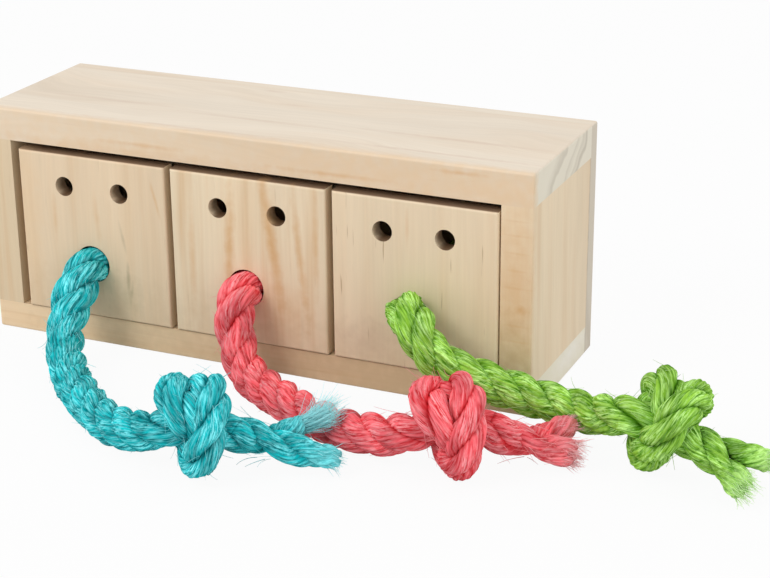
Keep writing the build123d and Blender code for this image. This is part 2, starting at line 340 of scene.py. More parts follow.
def front_marks(name):
    """All marks of a drawer front: its grain marks, a broad painted shade that darkens it low down, and
    painted shade inside its drilled scent holes.
    """
    middle = ROPE_HOLES[name].x + FRONT_MIDDLE
    # A broad painted shade darkens the lower part of the front.
    marks = FRONT_MARKS[name] + [drawer_mark(middle, 0.0080, 0.045, 0.0210, TAN_WOOD_AND_SHADE, 0.38)]
    for side in (-1, 1):
        wall = (middle + side * SCENT_HOLE_SPREAD, SCENT_HOLE_DEPTH, SCENT_HOLE_HEIGHT)
        # Painted shade on the walls inside the scent holes
        marks.append(mark_at(wall, (0.0080, 0.0040, 0.0080), SCENT_HOLE_SHADE, 1.0))
    return marks


# How the boards of the case and the drawer fronts are cut, in the terms of pine_material
BOARDS = {
    "top_board": {
        "along": "X", "pith": (0.055, 0.020, 0), "strength": 0.20, "dashes": 0.05, "width": 0.012,
        "pale": (0.755, 0.660, 0.540), "waviness": 0.030, "marks": TOP_MARKS, "end": 0.62,
        "sawn": (0.76, 0.70, 0.58),
    },
    "bottom_board": {
        "along": "X", "pith": (-0.03, -0.05, 0), "strength": 0.55, "dashes": 0.1,
        "pale": (0.78, 0.59, 0.385), "marks": BOTTOM_MARKS,
    },
    "left_side_board": {
        "along": "Z", "pith": (-0.20, -0.06, 0), "strength": 0.45, "dashes": 0.1, "pale": (0.70, 0.55, 0.37),
    },
    "right_side_board": {
        "along": "Z", "pith": (0.20, 0.05, 0), "strength": 0.35, "dashes": 0.1, "marks": RIGHT_SIDE_MARKS,
    },
    "back_board": {
        "along": "X", "pith": (0.15, 0.06, 0), "strength": 0.26, "dashes": 0.1, "pale": (0.755, 0.664, 0.545),
        "end": 0.3, "sawn": (0.62, 0.55, 0.45),
    },
}
FRONTS = {
    "left": {"pith": (-0.16, 0.05, 0), "strength": 0.25, "dashes": 0.12, "pale": (0.752, 0.585, 0.405)},
    "middle": {"pith": (-0.11, 0.06, 0), "strength": 0.55, "dashes": 0.2},
    "right": {"pith": (0.20, 0.06, 0), "strength": 0.20, "dashes": 0.55},
}
# Colour of the sawn upper and lower edges of the fronts: a dark brown that is painted shade, as if shaded by
# the boards above and below them
FRONT_SAWN_SHADE = (0.24, 0.15, 0.09)

# What the node group of a finish gives to a material
FINISH_OUTPUTS = [
    ("Color", "NodeSocketColor"),
    ("Roughness", "NodeSocketFloat"),
    ("Height", "NodeSocketFloat"),
]

# Lamps of the studio: size and place, and the point that they face
LAMPS = {"key": (0.55, (-0.42, -0.92, 0.90)), "fill": (0.60, (1.00, -0.15, 0.45))}
LAMP_TARGET = Vector((0, 0, 0.03))
# The floor: how far it reaches, its height, and how white it is seen
FLOOR_REACH = 6.0
FLOOR_LEVEL = -0.0002
FLOOR_WHITENESS = 0.94


class TreatBoxPine(bpy.types.PropertyGroup):
    """Colours and sizes of the bare pine."""

    pale: bpy.props.FloatVectorProperty(
        name="Pale wood", description="Colour of the early wood", subtype="COLOR", min=0, max=1,
        default=(0.800, 0.650, 0.460))
    streak: bpy.props.FloatVectorProperty(
        name="Streak", description="Colour of the late wood streaks", subtype="COLOR", min=0, max=1,
        default=(0.640, 0.400, 0.200))
    dash: bpy.props.FloatVectorProperty(
        name="Dash", description="Colour of the fine resin dashes", subtype="COLOR", min=0, max=1,
        default=(0.330, 0.190, 0.090))
    streak_width: bpy.props.FloatProperty(
        name="Streak width", description="Usual distance between streaks", unit="LENGTH", min=0.001,
        default=0.0040)


class TreatBoxRope(bpy.types.PropertyGroup):
    """Sizes and dyes of the sisal ropes."""

    diameter: bpy.props.FloatProperty(
        name="Rope diameter", description="Thickness of the free stretch", unit="LENGTH", min=0.004,
        default=0.0115)
    knot_diameter: bpy.props.FloatProperty(
        name="Knot rope diameter", description="Thickness of the rope drawn up in a knot", unit="LENGTH",
        min=0.004, default=0.0104)
    lay: bpy.props.FloatProperty(
        name="Lay", description="Length of one full turn of the strands", unit="LENGTH", min=0.008,
        default=0.0290)
    yarns: bpy.props.IntProperty(
        name="Yarns", description="Yarns that show round one strand", min=3, default=10)
    yarn_twist: bpy.props.FloatProperty(
        name="Yarn twist", description="Turn of the yarns in a strand, in radians for each metre",
        default=430.0)
    turquoise: bpy.props.FloatVectorProperty(
        name="Turquoise", description="Dye of the left rope", subtype="COLOR", min=0, max=1,
        default=(0.006, 0.510, 0.550))
    coral: bpy.props.FloatVectorProperty(
        name="Coral", description="Dye of the middle rope", subtype="COLOR", min=0, max=1,
        default=(1.000, 0.165, 0.195))
    green: bpy.props.FloatVectorProperty(
        name="Green", description="Dye of the right rope", subtype="COLOR", min=0, max=1,
        default=(0.290, 0.580, 0.055))


class TreatBoxStage(bpy.types.PropertyGroup):
    """Light and lens of the studio view."""

    lens: bpy.props.FloatProperty(
        name="Lens", description="Focal length of the camera", unit="CAMERA", min=10, default=89.59)
    sky: bpy.props.FloatProperty(
        name="Sky strength", description="Strength of the even light all round", min=0, default=0.84)
    key: bpy.props.FloatProperty(
        name="Key strength", description="Power of the large lamp at the front left", subtype="POWER", min=0,
        default=5.4)
    fill: bpy.props.FloatProperty(
        name="Fill strength", description="Power of the weak lamp at the right", subtype="POWER", min=0,
        default=1.6)
    floor: bpy.props.FloatVectorProperty(
        name="Floor", description="Colour of the floor", subtype="COLOR", min=0, max=1,
        default=(0.70, 0.70, 0.70))


def add_node(tree, kind, inputs=None, **settings):
    """Adds a node, with values or links for its inputs."""
    made = tree.nodes.new(kind)
    for key, value in settings.items():
        setattr(made, key, value)
    for key, value in (inputs or {}).items():
        if isinstance(value, bpy.types.NodeSocket):
            tree.links.new(value, made.inputs[key])
        else:
            made.inputs[key].default_value = value
    return made


def maths(tree, operation, *values):
    """Adds a Math node and returns its output."""
    return add_node(tree, "ShaderNodeMath", dict(enumerate(values)), operation=operation).outputs[0]


def vector_maths(tree, operation, *values):
    """Adds a Vector Math node and returns its output, which is a number for a length."""
    made = add_node(tree, "ShaderNodeVectorMath", dict(enumerate(values)), operation=operation)
    return made.outputs["Value" if operation == "LENGTH" else "Vector"]


def split_axes(tree, vector):
    """Adds a Separate XYZ node and returns its outputs."""
    return add_node(tree, "ShaderNodeSeparateXYZ", {0: vector}).outputs


def joined_axes(tree, *values):
    """Adds a Combine XYZ node and returns its output."""
    return add_node(tree, "ShaderNodeCombineXYZ", dict(enumerate(values))).outputs[0]


def grey(tree, value):
    """Adds a Combine Color node and returns a grey as bright as the value."""
    return add_node(tree, "ShaderNodeCombineColor", {0: value, 1: value, 2: value}).outputs[0]


def mixed(tree, share, first, second, blend="MIX"):
    """Adds a colour Mix node and returns its output."""
    made = add_node(tree, "ShaderNodeMix", data_type="RGBA", blend_type=blend)
    for socket, value in zip((made.inputs[0], made.inputs[6], made.inputs[7]), (share, first, second)):
        if isinstance(value, bpy.types.NodeSocket):
            tree.links.new(value, socket)
        else:
            socket.default_value = value
    return made.outputs[2]


def spread(tree, value, low, high, to_low=0.0, to_high=1.0):
    """Adds a Map Range node and returns its output."""
    inputs = {0: value, 1: low, 2: high, 3: to_low, 4: to_high}
    return add_node(tree, "ShaderNodeMapRange", inputs).outputs[0]


def noise(tree, vector, scale, detail=2.0, roughness=0.5):
    """Adds a Noise Texture and returns its value."""
    inputs = {"Vector": vector, "Scale": scale, "Detail": detail, "Roughness": roughness}
    return add_node(tree, "ShaderNodeTexNoise", inputs).outputs[0]


def new_group(name, inputs):
    """Makes an empty shader node group for a finish, with named inputs."""
    group = bpy.data.node_groups.new(name, "ShaderNodeTree")
    for label, kind, default in inputs:
        socket = group.interface.new_socket(name=label, in_out="INPUT", socket_type=kind)
        socket.default_value = default
    for label, kind in FINISH_OUTPUTS:
        group.interface.new_socket(name=label, in_out="OUTPUT", socket_type=kind)
    return group, add_node(group, "NodeGroupInput").outputs, add_node(group, "NodeGroupOutput").inputs


def stretched(tree, vector, across, along):
    """The grain's coordinates, scaled across and along the grain."""
    return vector_maths(tree, "MULTIPLY", vector, (across, across, along))


def pine_group():
    """Streaks, fibres and resin dashes of pine, with the grain along Z of the given coordinates."""
    group, given, out = new_group(
        "Pine grain",
        [
            ("Vector", "NodeSocketVector", (0, 0, 0)),
            ("Pale", "NodeSocketColor", (0.8, 0.7, 0.5, 1)),
            ("Streak", "NodeSocketColor", (0.6, 0.4, 0.2, 1)),
            ("Dash", "NodeSocketColor", (0.3, 0.2, 0.1, 1)),
            ("Streak Width", "NodeSocketFloat", 0.004),
            ("Streak Strength", "NodeSocketFloat", 0.6),
            ("Dash Strength", "NodeSocketFloat", 0.2),
            ("Waviness", "NodeSocketFloat", 0.006),
            ("End Grain", "NodeSocketFloat", 0.0),
            ("End Lines", "NodeSocketFloat", 0.3),
            ("Sawn", "NodeSocketColor", (0.8, 0.75, 0.6, 1)),
        ],
    )
    vector = given["Vector"]
    sway = maths(group, "SUBTRACT", noise(group, stretched(group, vector, 26, 8), 1.0, 2.0), 0.5)
    ripple = maths(group, "SUBTRACT", noise(group, stretched(group, vector, 150, 30), 1.0, 1.0), 0.5)
    sway = maths(group, "MULTIPLY_ADD", ripple, 0.12, sway)
    split = split_axes(group, vector)
    reach = vector_maths(group, "LENGTH", joined_axes(group, split[0], split[1]))
    reach = maths(group, "MULTIPLY_ADD", sway, given["Waviness"], reach)

    def streaks(across, along, detail, roughness):
        place = joined_axes(group, across, maths(group, "MULTIPLY", split[2], along))
        return noise(group, place, 1.0, detail, roughness)

    late = streaks(maths(group, "DIVIDE", reach, given["Streak Width"]), 9.0, 3.0, 0.55)
    share = maths(group, "MULTIPLY", spread(group, late, 0.47, 0.74), given["Streak Strength"])
    colour = mixed(group, share, given["Pale"], given["Streak"])
    fibres = streaks(maths(group, "MULTIPLY", reach, 900.0), 26.0, 3.0, 0.6)
    tint = spread(group, fibres, 0.25, 0.75, 0.955, 1.03)
    broad = streaks(maths(group, "MULTIPLY", reach, 60.0), 5.0, 2.0, 0.5)
    tint = maths(group, "MULTIPLY", tint, spread(group, broad, 0.3, 0.7, 0.94, 1.04))
    colour = mixed(group, 1.0, colour, grey(group, tint), "MULTIPLY")
    dashes = noise(group, stretched(group, vector, 1000, 70), 1.0, 1.0)
    dashes = maths(group, "MULTIPLY", spread(group, dashes, 0.69, 0.77), given["Dash Strength"])
    colour = mixed(group, dashes, colour, given["Dash"])
    rings = streaks(maths(group, "MULTIPLY", reach, 170.0), 2.0, 2.0, 0.5)
    rings = maths(group, "MULTIPLY", spread(group, rings, 0.50, 0.68), given["End Lines"])
    sawn = mixed(group, rings, given["Sawn"], (0.36, 0.30, 0.23, 1))
    colour = mixed(group, given["End Grain"], colour, sawn)
    group.links.new(colour, out["Color"])
    group.links.new(spread(group, fibres, 0.2, 0.8, 0.64, 0.50), out["Roughness"])
    group.links.new(maths(group, "SUBTRACT", fibres, dashes), out["Height"])
    return group


def sisal_group():
    """Dyed sisal: a painted sheen highlight in pale streaks along the yarns, painted shade in deep colour in
    the grooves, and bleached frayed ends.
    """
    group, given, out = new_group(
        "Sisal fibre",
        [
            ("Dye", "NodeSocketColor", (0.2, 0.4, 0.1, 1)),
            ("Pale", "NodeSocketColor", (0.6, 0.7, 0.5, 1)),
            ("Deep", "NodeSocketColor", (0.1, 0.2, 0.05, 1)),
            ("Bleached", "NodeSocketColor", (0.8, 0.8, 0.8, 1)),
        ],
    )
    place = add_node(group, "ShaderNodeUVMap", uv_map="fibre").outputs[0]

    def streaks(along, around, detail, roughness):
        scaled = vector_maths(group, "MULTIPLY", place, (along, around, 1))
        return noise(group, scaled, 1.0, detail, roughness)

    fine = streaks(520, 34, 3.0, 0.7)
    middling = streaks(260, 15, 2.0, 0.6)
    broad = streaks(190, 4.0, 2.0, 0.5)
    patches = streaks(120, 2.5, 2.0, 0.5)
    groove = add_node(group, "ShaderNodeAttribute", attribute_name="groove").outputs["Fac"]
    fray = add_node(group, "ShaderNodeAttribute", attribute_name="fray").outputs["Fac"]
    colour = mixed(group, spread(group, middling, 0.55, 0.40, 0.0, 1.0), given["Dye"], given["Deep"])
    # Painted sheen highlight: pale glints along the yarns stand in for the fibres' shine, which the shader's
    # specular doesn't give.
    lustre = spread(group, broad, 0.36, 0.60, 0.20, 1.0)
    glint = maths(group, "MULTIPLY", spread(group, fine, 0.44, 0.58), lustre)
    colour = mixed(group, glint, colour, given["Pale"])
    # Painted shade: deep colour in the grooves between yarns and between strands.
    colour = mixed(group, groove, colour, given["Deep"])
    shade = spread(group, patches, 0.34, 0.62, 0.74, 1.16)
    colour = mixed(group, 1.0, colour, grey(group, shade), "MULTIPLY")
    worn = maths(group, "MULTIPLY", fray, spread(group, fine, 0.25, 0.60, 0.45, 1.0))
    colour = mixed(group, worn, colour, given["Bleached"])
    group.links.new(colour, out["Color"])
    group.links.new(spread(group, fine, 0.35, 0.70, 0.65, 0.38), out["Roughness"])
    group.links.new(maths(group, "ADD", fine, maths(group, "MULTIPLY", middling, 0.8)), out["Height"])
    return group


def bare_tree(owner):
    """The emptied node tree of a material or a world."""
    owner.use_nodes = True
    owner.node_tree.nodes.clear()
    return owner.node_tree


def new_material(name):
    """A material with its node tree and its Principled shader."""
    material = bpy.data.materials.new(name)
    tree = bare_tree(material)
    shader = add_node(tree, "ShaderNodeBsdfPrincipled")
    add_node(tree, "ShaderNodeOutputMaterial", {"Surface": shader.outputs[0]})
    return material, tree, shader


def use_group(tree, shader, group, inputs, bump=0.0, distance=0.0):
    """Places a finish group in a material and feeds the shader from it."""
    made = add_node(tree, "ShaderNodeGroup", inputs, node_tree=group)
    tree.links.new(made.outputs["Color"], shader.inputs["Base Color"])
    tree.links.new(made.outputs["Roughness"], shader.inputs["Roughness"])
    if bump:
        heights = {"Strength": bump, "Distance": distance, "Height": made.outputs["Height"]}
        bumped = add_node(tree, "ShaderNodeBump", heights)
        tree.links.new(bumped.outputs[0], shader.inputs["Normal"])
    return made


def grain_vector(tree, place, along, pith):
    """Object coordinates turned so that the grain runs along Z, counted from the tree's pith."""
    split = split_axes(tree, place)
    order = {"X": (1, 2, 0), "Y": (2, 0, 1), "Z": (0, 1, 2)}[along]
    turned = joined_axes(tree, *[split[axis] for axis in order])
    return vector_maths(tree, "SUBTRACT", turned, pith)


def end_grain(tree, along):
    """A mask of the faces that cut across the grain."""
    facing = add_node(tree, "ShaderNodeNewGeometry").outputs["Normal"]
    across = split_axes(tree, facing)[along]
    return spread(tree, maths(tree, "ABSOLUTE", across), 0.70, 0.95)


def mark(tree, colour, place, middle, reach, lean, tint, strength):
    """Tints an oval spot of a board with a ragged edge, which leans along X as it rises."""
    split = split_axes(tree, vector_maths(tree, "SUBTRACT", place, middle))
    leaning = maths(tree, "MULTIPLY_ADD", split[2], -lean, split[0])
    off = joined_axes(tree, leaning, split[1], split[2])
    far = vector_maths(tree, "LENGTH", vector_maths(tree, "DIVIDE", off, reach))
    ragged = maths(tree, "MULTIPLY_ADD", noise(tree, place, 320.0, 2.0), 0.8, far)
    return mixed(tree, spread(tree, ragged, 1.35, 0.45, 0.0, strength), colour, (*tint, 1))


def pine_material(name, along, pith, strength, dashes, width=None, pale=None, waviness=0.006, marks=(),
                  end=0.1, sawn=(0.80, 0.74, 0.60)):
    """Bare pine cut at some distance from its tree's pith.

    Strength and dashes are those of its streaks and resin dashes, width is between streaks, and end is the
    strength of the rings on its sawn ends.
    """
    pine = bpy.context.scene.treat_box_pine
    group = bpy.data.node_groups.get("Pine grain") or pine_group()
    material, tree, shader = new_material(name)
    place = add_node(tree, "ShaderNodeTexCoord").outputs["Object"]
    inputs = {
        "Vector": grain_vector(tree, place, along, pith),
        "Pale": (*(pale or pine.pale), 1),
        "Streak": (*pine.streak, 1),
        "Dash": (*pine.dash, 1),
        "Streak Width": width or pine.streak_width,
        "Streak Strength": strength,
        "Dash Strength": dashes,
        "Waviness": waviness,
        "End Grain": end_grain(tree, along),
        "End Lines": end,
        "Sawn": (*sawn, 1),
    }
    colour = use_group(tree, shader, group, inputs, 0.2, 0.0002).outputs["Color"]
    for spot in marks:
        colour = mark(tree, colour, place, *spot)
    tree.links.new(colour, shader.inputs["Base Color"])
    shader.inputs["Specular IOR Level"].default_value = 0.3
    return material


def dress(node, material):
    """Gives a board its finish."""
    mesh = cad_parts[node].data
    mesh.materials.clear()
    mesh.materials.append(material)


def knot_frame(centre, along, roll):
    """The frame of a knot: X along the rope's heading, Y across it, rolled about the heading."""
    side = Vector((0, 0, 1)).cross(along).normalized()
    turn = math.radians(roll)
    up = along.cross(side) * math.cos(turn) - side * math.sin(turn)
    across = up.cross(along)
    turned = Matrix((along, across, up)).transposed().to_4x4()
    return Matrix.Translation(centre) @ turned


def knot_line(mirror, share=1.0):
    """The points of an overhand knot in its own frame."""
    second_half = [(-a, b, -c) for a, b, c in KNOT_HALF[1:]]
    whole = KNOT_HALF[:0:-1] + KNOT_HALF[:1] + second_half
    return [Vector((a, b, c * mirror)) * share for a, b, c in whole]


def rope_controls(name):
    """Control points of a whole rope from its inner end to its tail, and where its parts meet."""
    rope = ROPES[name]
    hole = ROPE_HOLES[name]
    floor_hole = Vector((hole.x, hole.y, 0))
    start = hole + Vector((0, ROPE_START_IN_HOLE, 0))

    inner = knot_line(1)
    inner[-1] += (inner[-1] - inner[-2]).normalized() * STOP_KNOT_STUB
    lead_in = inner[0] - Vector((FRONT_THICKNESS + STOP_KNOT_SEAT - ROPE_START_IN_HOLE, 0, 0))
    turned = knot_frame(Vector(), Vector((0, 1, 0)), STOP_KNOT_ROLL)
    placed = Matrix.Translation(start - turned @ lead_in) @ turned
    inside = [placed @ point for point in reversed(inner)]

    heading, tilt = math.radians(rope["knot_heading"]), math.radians(rope["knot_tilt"])
    level = math.cos(tilt)
    along = Vector((math.cos(heading) * level, math.sin(heading) * level, math.sin(tilt)))
    placed = knot_frame(floor_hole + Vector(rope["knot_centre"]), along, rope["knot_roll"])
    knot = [placed @ point for point in knot_line(-1, OUTER_KNOT_SHARE)]
    route = [start, hole + Vector((0, -rope["straight"], 0))]
    route += [floor_hole + Vector(point) for point in rope["route"]]
    tail = [floor_hole + Vector(point) for point in rope["tail"]]
    marks = {"start": len(inside), "knot": len(inside) + len(route)}
    marks["tail"] = marks["knot"] + len(knot) - 1
    return inside + route + knot + tail, marks


def smooth_line(name, controls):
    """Points along the smooth line of some control points."""
    curve = bpy.data.curves.new(name, "CURVE")
    curve.dimensions = "3D"
    curve.resolution_u = LINE_RESOLUTION
    line = curve.splines.new("NURBS")
    line.points.add(len(controls) - 1)
    for point, place in zip(line.points, controls):
        point.co = (*place, 1)
    line.order_u = 3
    line.use_endpoint_u = True
    holder = bpy.data.objects.new(name, curve)
    mesh = bpy.data.meshes.new_from_object(holder)
    points = np.array([vertex.co for vertex in mesh.vertices])
    bpy.data.objects.remove(holder)
    bpy.data.curves.remove(curve)
    bpy.data.meshes.remove(mesh)
    return points


def run_lengths(points):
    """Distance along a line at each of its points."""
    return np.concatenate([[0], np.cumsum(np.linalg.norm(np.diff(points, axis=0), axis=1))])


def unit(vectors):
    """Vectors of length one."""
    return vectors / np.maximum(np.linalg.norm(vectors, axis=-1, keepdims=True), 1e-12)


def steady_frames(points):
    """Two directions square to a line at each point, carried along it without twist."""
    tangents = unit(np.gradient(points, axis=0))
    normals = np.zeros_like(points)
    first = np.cross(tangents[0], (0, 0, 1))
    normals[0] = unit(first)
    for i in range(1, len(points)):
        carried = normals[i - 1] - tangents[i] * (normals[i - 1] @ tangents[i])
        normals[i] = unit(carried)
    return tangents, normals, np.cross(tangents, normals)


class RopeLine:
    """The centre line of one rope, evenly stepped, with its frames and the places where its parts meet."""

    def __init__(self, name):
        controls, marks = rope_controls(name)
        raw = smooth_line(f"{name}_rope_line", controls)
        lengths = run_lengths(raw)
        self.total = lengths[-1]
        self.s = np.linspace(0, self.total, int(self.total / LINE_STEP) + 1)
        self.points = np.stack([np.interp(self.s, lengths, raw[:, axis]) for axis in range(3)], 1)
        self.tangents, self.normals, self.sides = steady_frames(self.points)
        last = len(raw) - 1
        spans = len(controls) - 2
        self.at = {}
        for label, place in marks.items():
            self.at[label] = float(np.interp((place - 0.5) / spans * last, np.arange(last + 1), lengths))

    def part(self, low, high):
        """Indices of the points between two distances and a few beyond, and a slice of those between.

        Neighbouring parts share a point.
        """
        end = len(self.s) - 1
        first, last = np.searchsorted(self.s, (low - 1e-9, high - 1e-9))
        last = min(last, end)
        early, late = max(first - OVERLAP, 0), min(last + OVERLAP, end)
        return np.arange(early, late + 1), slice(first - early, last - early + 1)


def smooth_step(values, low, high):
    """A soft step from 0 at low to 1 at high."""
    t = np.clip((values - low) / (high - low), 0, 1)
    return t * t * (3 - 2 * t)


class MeshParts:
    """Collects tubes into one mesh with the data that the sisal finish reads."""

    def __init__(self):
        self.points = []
        self.faces = []
        self.uvs = []
        self.groove = []
        self.fray = []
        self.caps = []

    def tube(self, rings, along, shift, groove, fray):
        """Adds one closed tube from rings of points, shaped (rings, sides, 3)."""
        count, sides = rings.shape[:2]
        first = len(self.points)
        self.points += rings.reshape(-1, 3).tolist()
        self.groove += np.broadcast_to(groove, (count, sides)).reshape(-1).tolist()
        self.fray += np.broadcast_to(fray, (count, sides)).reshape(-1).tolist()
        low = first + sides * np.arange(count - 1)[:, None] + np.arange(sides)[None, :]
        low_next = np.roll(low, -1, axis=1)
        quads = np.stack([low, low_next, low_next + sides, low + sides], axis=2)
        self.faces += quads.reshape(-1, 4).tolist()
        around = shift + np.arange(sides + 1) / sides
        u = np.repeat(along[:, None], sides, axis=1)
        v = np.broadcast_to(around, (count, sides + 1))
        corners = [(u[:-1], v[:-1, :-1]), (u[:-1], v[:-1, 1:]), (u[1:], v[1:, 1:]), (u[1:], v[1:, :-1])]
        self.uvs += np.stack([np.stack(corner, 2) for corner in corners], 2).reshape(-1, 2).tolist()
        for ring, order in ((0, -1), (count - 1, 1)):
            self.caps.append(len(self.faces))
            self.faces.append([first + ring * sides + side for side in range(sides)][::order])
            self.uvs += [(float(along[ring]), float(place)) for place in around[:-1]][::order]

    def build(self, name, material):
        """Makes the object."""
        mesh = bpy.data.meshes.new(name)
        mesh.from_pydata(self.points, [], self.faces)
        layer = mesh.uv_layers.new(name="fibre")
        layer.data.foreach_set("uv", np.array(self.uvs, np.float32).reshape(-1))
        for label, values in (("groove", self.groove), ("fray", self.fray)):
            layer = mesh.attributes.new(label, "FLOAT", "POINT")
            layer.data.foreach_set("value", np.array(values, np.float32))
        mesh.shade_smooth()
        for cap in self.caps:
            mesh.polygons[cap].use_smooth = False
        mesh.materials.append(material)
        made = bpy.data.objects.new(name, mesh)
        bpy.context.scene.collection.objects.link(made)
        return made


def uneven(along, draw, size):
    """A slow random swell along a rope, about as large as size."""
    total = np.zeros_like(along)
    for wave in (0.043, 0.027, 0.016, 0.009):
        total += np.sin(2 * math.pi * (along / wave + draw.random()))
    return size * total / 2


def strand_tube(parts, centres, outward, along, radius, draw, laid, keep, fray=0.0, loose=0.0,
                sides=STRAND_SIDES):
    """Adds one strand: a bundle of uneven yarns, whose ridges the sides of the tube follow."""
    rope = bpy.context.scene.treat_box_rope
    tangents = unit(np.gradient(centres, axis=0))
    outward = unit(outward - tangents * np.sum(outward * tangents, 1, keepdims=True))
    across = np.cross(tangents, outward)
    corners = 2 * math.pi * np.arange(sides) / sides
    turn = corners[None, :] - (rope.yarn_twist * along)[:, None]
    widths = corners + 0.22 * np.sin(corners + draw.uniform(0, 6))
    widths = widths + 0.12 * np.sin(2 * corners + draw.uniform(0, 6))
    ridge = np.abs(np.cos(0.5 * rope.yarns * widths))[None, :]
    yarn = np.floor(widths / (2 * math.pi) * rope.yarns + 0.5).astype(int) % rope.yarns
    swell = np.stack([uneven(along, draw, YARN_SWELL) for each in range(rope.yarns)], 1)
    loose = np.broadcast_to(np.asarray(loose, float), along.shape)[:, None]
    relief = YARN_RELIEF + LOOSE_RELIEF * loose
    profile = 1 + relief * (ridge ** 0.7 - 0.7) + (1 + loose) * swell[:, yarn] * ridge
    out = STRAND_HALF_OUT * radius[:, None] * profile * np.cos(turn)
    over = STRAND_HALF_OVER * radius[:, None] * profile * np.sin(turn)
    rings = centres[:, None, :] + outward[:, None, :] * out[..., None] + across[:, None, :] * over[..., None]
    # Painted shade in the grooves between yarns, and between the strands near the rope's middle.
    groove = YARN_CREASE_SHADE * (1 - ridge) ** 2 * np.ones_like(out)
    axis, share = laid
    reach = np.linalg.norm(rings - axis[:, None, :], axis=2) / radius[:, None]
    groove = np.maximum(groove, (1 - smooth_step(reach, *STRAND_CREASE_SHADE)) * share[:, None])
    rings[..., 2] = np.maximum(rings[..., 2], FLOOR_CLEARANCE)
    fray = np.broadcast_to(np.asarray(fray, float), along.shape)[:, None]
    parts.tube(rings[keep], along[keep], draw.uniform(0, 5), groove[keep], fray[keep])


def spokes(line, index, angle):
    """Directions away from the middle of the rope, at some angle round it."""
    return np.cos(angle)[:, None] * line.normals[index] + np.sin(angle)[:, None] * line.sides[index]


def strand_angle(along, strand, draw):
    """Where one strand lies round the rope, a little uneven."""
    lay = bpy.context.scene.treat_box_rope.lay
    return 2 * math.pi * (along / lay + strand / STRANDS) + uneven(along, draw, 0.10)


def strand_draw(seed, strand):
    """The random draws of one strand, the same in every part of its rope."""
    return random.Random(10 * seed + strand)


def laid_rope(line, low, high, radius_at, material, name, seed, sides=STRAND_SIDES):
    """A piece of three-strand laid rope along part of a line."""
    index, keep = line.part(low, high)
    along = line.s[index]
    axis = line.points[index]
    radius = radius_at(along)
    parts = MeshParts()
    for strand in range(STRANDS):
        draw = strand_draw(seed, strand)
        outward = spokes(line, index, strand_angle(along, strand, draw))
        thick = radius * (1 + uneven(along, draw, STRAND_SWELL))
        centres = axis + STRAND_OFFSET * radius[:, None] * outward
        laid = (axis, np.ones_like(along))
        strand_tube(parts, centres, outward, along, thick, draw, laid, keep, sides=sides)
    return parts.build(name, material)


def rope_radius(line, bulge):
    """The rope's radius along its line: full on the free stretch, drawn thinner in the knots.

    Just outside the drawer, where the rope bends down, its strands bulge.
    """
    rope = bpy.context.scene.treat_box_rope
    full, drawn = rope.diameter / 2, rope.knot_diameter / 2

    def radius_at(along):
        from_hole = along - line.at["start"]
        leaving = smooth_step(from_hole, *THIN_TO_HOLE)
        entering = smooth_step(along - line.at["knot"], *THIN_FROM_KNOT)
        bend = np.exp(-((from_hole - BEND_PLACE) / BEND_REACH) ** 2)
        return (drawn + (full - drawn) * leaving * (1 - entering)) * (1 + bulge * bend)

    return radius_at


def sisal_material(name, label, bump, bleach):
    """The dyed finish of one rope, whose frayed ends are bleached by a share."""
    dye = Vector(getattr(bpy.context.scene.treat_box_rope, DYES[name]))
    bright, white = dye / max(dye), Vector((1, 1, 1))
    group = bpy.data.node_groups.get("Sisal fibre") or sisal_group()
    material, tree, shader = new_material(f"{DYES[name]} {label}")
    inputs = {
        "Dye": (*dye, 1),
        # Pale is the colour of the painted sheen highlight; Deep is also the colour of the painted shade in
        # the grooves.
        "Pale": (*bright.lerp(white, 0.24), 1),
        "Deep": (*[value * (0.10 + 0.56 * value) for value in dye], 1),
        "Bleached": (*bright.lerp(white, bleach), 1),
    }
    use_group(tree, shader, group, inputs, bump, 0.0004)
    # No specular: the sheen is painted into the colour.
    shader.inputs["Specular IOR Level"].default_value = 0.0
    return material


def carry(piece, name, part, *nodes):
    """Lets a rope's piece follow its drawer, or leaves it in place where the rope gives way, and hides the
    CAD parts that it stands for.
    """
    if part in GIVES_WAY.get(name, {}):
        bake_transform(piece)
    else:
        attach(piece, f"{name}_drawer")
    if nodes:
        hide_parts(*nodes)
    return piece


def fibre_tube(parts, points, thickness, fray, place):
    """Adds one thin fibre that tapers to its tip."""
    tangents, normals, sides = steady_frames(points)
    taper = thickness * (1 - 0.6 * np.linspace(0, 1, len(points)) ** 2)
    angles = (2 * math.pi * np.arange(3) / 3)[None, :, None]
    outward = np.cos(angles) * normals[:, None, :] + np.sin(angles) * sides[:, None, :]
    rings = points[:, None, :] + taper[:, None, None] * outward
    rings[..., 2] = np.maximum(rings[..., 2], FLOOR_CLEARANCE)
    fray = np.broadcast_to(np.asarray(fray, float), len(points))[:, None]
    parts.tube(rings, place + run_lengths(points), place * 7.0, 0.0, fray)


